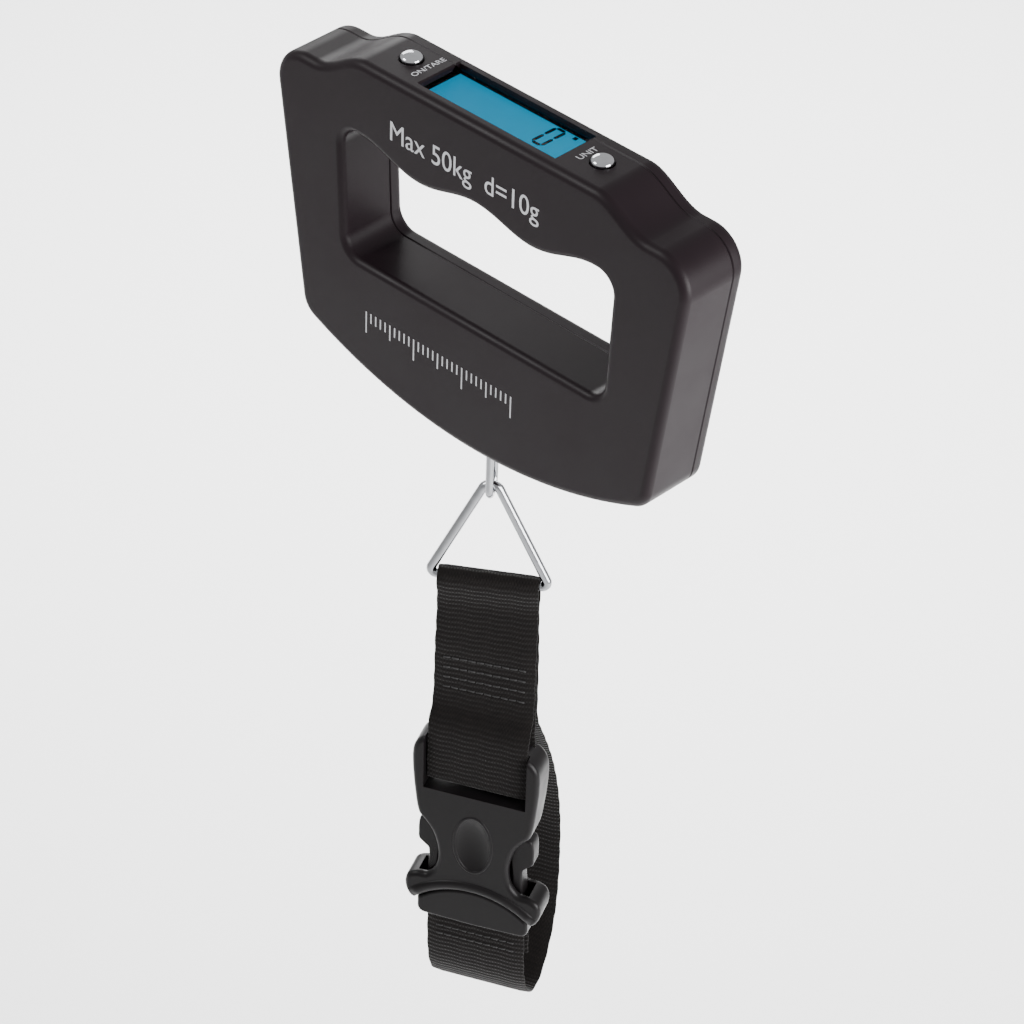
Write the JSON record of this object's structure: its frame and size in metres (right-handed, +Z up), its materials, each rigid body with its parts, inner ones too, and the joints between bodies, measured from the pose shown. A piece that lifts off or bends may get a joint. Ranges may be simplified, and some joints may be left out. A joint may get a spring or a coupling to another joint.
{
  "type": "digital luggage scale",
  "caption": "Handheld digital luggage scale with a grip-through housing, top display and buttons, swivel hanger ring and a buckled webbing loop.",
  "frame": {"origin": "middle of the grip bar's underside, at half the housing's thickness, where the hand carries the scale", "axes": "+X to the right along the grip bar, +Y towards the rear face, +Z up towards the display"},
  "size_m": [0.143, 0.0467, 0.3002],
  "materials": {
    "shell_plastic": "fine satin texture",
    "lens": "polished",
    "rubber_black": "matte",
    "lcd_glass": "satin polariser",
    "light_guide": "frosted",
    "zebra_rubber": "matte",
    "circuit_board": "solder mask",
    "black_resin": "gloss",
    "zinc_steel": "zinc plated",
    "switch_plastic": "moulded",
    "chrome_plate": "bright chrome",
    "plunger_plastic": "moulded",
    "cell_aluminium": "milled",
    "gauge_coating": "sealed",
    "bronze": "turned",
    "wire_sleeve": "satin",
    "contact_brass": "stamped",
    "coin_steel": "stamped",
    "ring_steel": "nickel plated wire",
    "webbing": "ribbed weave",
    "thread": "bonded thread",
    "buckle_plastic": "semi-gloss moulded"
  },
  "bodies": {
    "housing": {"front_shell": "shell_plastic", "rear_shell": "shell_plastic", "window_lens": "lens", "window_gasket": "rubber_black", "lcd_panel": "lcd_glass", "backlight": "light_guide", "zebra_strips": "zebra_rubber", "main_board": "circuit_board", "controller_chip": "black_resin", "board_screws": "zinc_steel", "tact_switches": "switch_plastic", "load_cell": "cell_aluminium", "strain_gauges": "gauge_coating", "cell_nut_plate": "zinc_steel", "cell_screws": "zinc_steel", "thrust_washer": "bronze", "sensor_wires": "wire_sleeve", "coin_cell": "coin_steel", "battery_contacts": "contact_brass", "battery_leads": "wire_sleeve", "cap_seal": "rubber_black", "case_screws": "zinc_steel"},
    "tare_button": {"tare_button": "chrome_plate", "tare_plunger": "plunger_plastic"},
    "unit_button": {"unit_button": "chrome_plate", "unit_plunger": "plunger_plastic"},
    "battery_cap": {"battery_cap": "shell_plastic"},
    "swivel": {"swivel_stud": "ring_steel", "stud_nut": "zinc_steel"},
    "hanger_link": {"hanger_link": "ring_steel"},
    "triangle_ring": {"triangle_ring": "ring_steel"},
    "strap": {"webbing_upper": "webbing", "strap_stitching": "thread", "buckle_socket": "buckle_plastic"},
    "catch": {"buckle_catch": "buckle_plastic", "webbing_lower": "webbing", "tail_stitching": "thread"},
    "left_arm": {"catch_arm_left": "buckle_plastic"},
    "right_arm": {"catch_arm_right": "buckle_plastic"}
  },
  "joints": [
    {"name": "tare_press", "type": "slide", "parent": "housing", "child": "tare_button", "axis": [0, 0, -1], "range_m": [0, 0.0008], "stiffness_N_per_m": 900, "springref_m": -0.0006},
    {"name": "unit_press", "type": "slide", "parent": "housing", "child": "unit_button", "axis": [0, 0, -1], "range_m": [0, 0.0008], "stiffness_N_per_m": 900, "springref_m": -0.0006},
    {"name": "battery_cap_turn", "type": "hinge", "parent": "housing", "child": "battery_cap", "pos_m": [0.032, 0.00955, -0.0543], "axis": [0, 1, 0], "range_deg": [0, 60]},
    {"name": "hanger_swivel", "type": "hinge", "parent": "housing", "child": "swivel", "pos_m": [-0.001, 0, -0.057], "axis": [0, 0, 1], "continuous": true},
    {"name": "link_swing", "type": "hinge", "parent": "swivel", "child": "hanger_link", "pos_m": [-0.001, 0, -0.06855], "axis": [-0.5592, 0.829, 0], "range_deg": [-20, 20]},
    {"name": "ring_swing", "type": "hinge", "parent": "hanger_link", "child": "triangle_ring", "pos_m": [-0.001, 0, -0.0926], "axis": [0.829, 0.5592, 0], "range_deg": [-40, 40]},
    {"name": "strap_swing", "type": "hinge", "parent": "triangle_ring", "child": "strap", "pos_m": [-0.001, 0, -0.1243], "axis": [0.829, 0.5592, 0], "range_deg": [-50, 50]},
    {"name": "buckle_release", "type": "slide", "parent": "strap", "child": "catch", "axis": [0, 0, -1], "range_m": [0, 0.027], "deforming": ["webbing_lower"]},
    {"name": "left_arm_flex", "type": "hinge", "parent": "catch", "child": "left_arm", "pos_m": [-0.01136, -0.00759, -0.234], "axis": [-0.4226, 0.9063, 0], "range_deg": [0, 8.3], "stiffness_Nm_per_rad": 0.3},
    {"name": "right_arm_flex", "type": "hinge", "parent": "catch", "child": "right_arm", "pos_m": [0.01148, 0.00306, -0.234], "axis": [-0.4226, 0.9063, 0], "range_deg": [-8.3, 0], "stiffness_Nm_per_rad": 0.3}
  ],
  "couplings": [
    {"joint": "left_arm_flex", "follows": "buckle_release", "rad_per_m": 5.236},
    {"joint": "right_arm_flex", "follows": "buckle_release", "rad_per_m": -5.236}
  ]
}
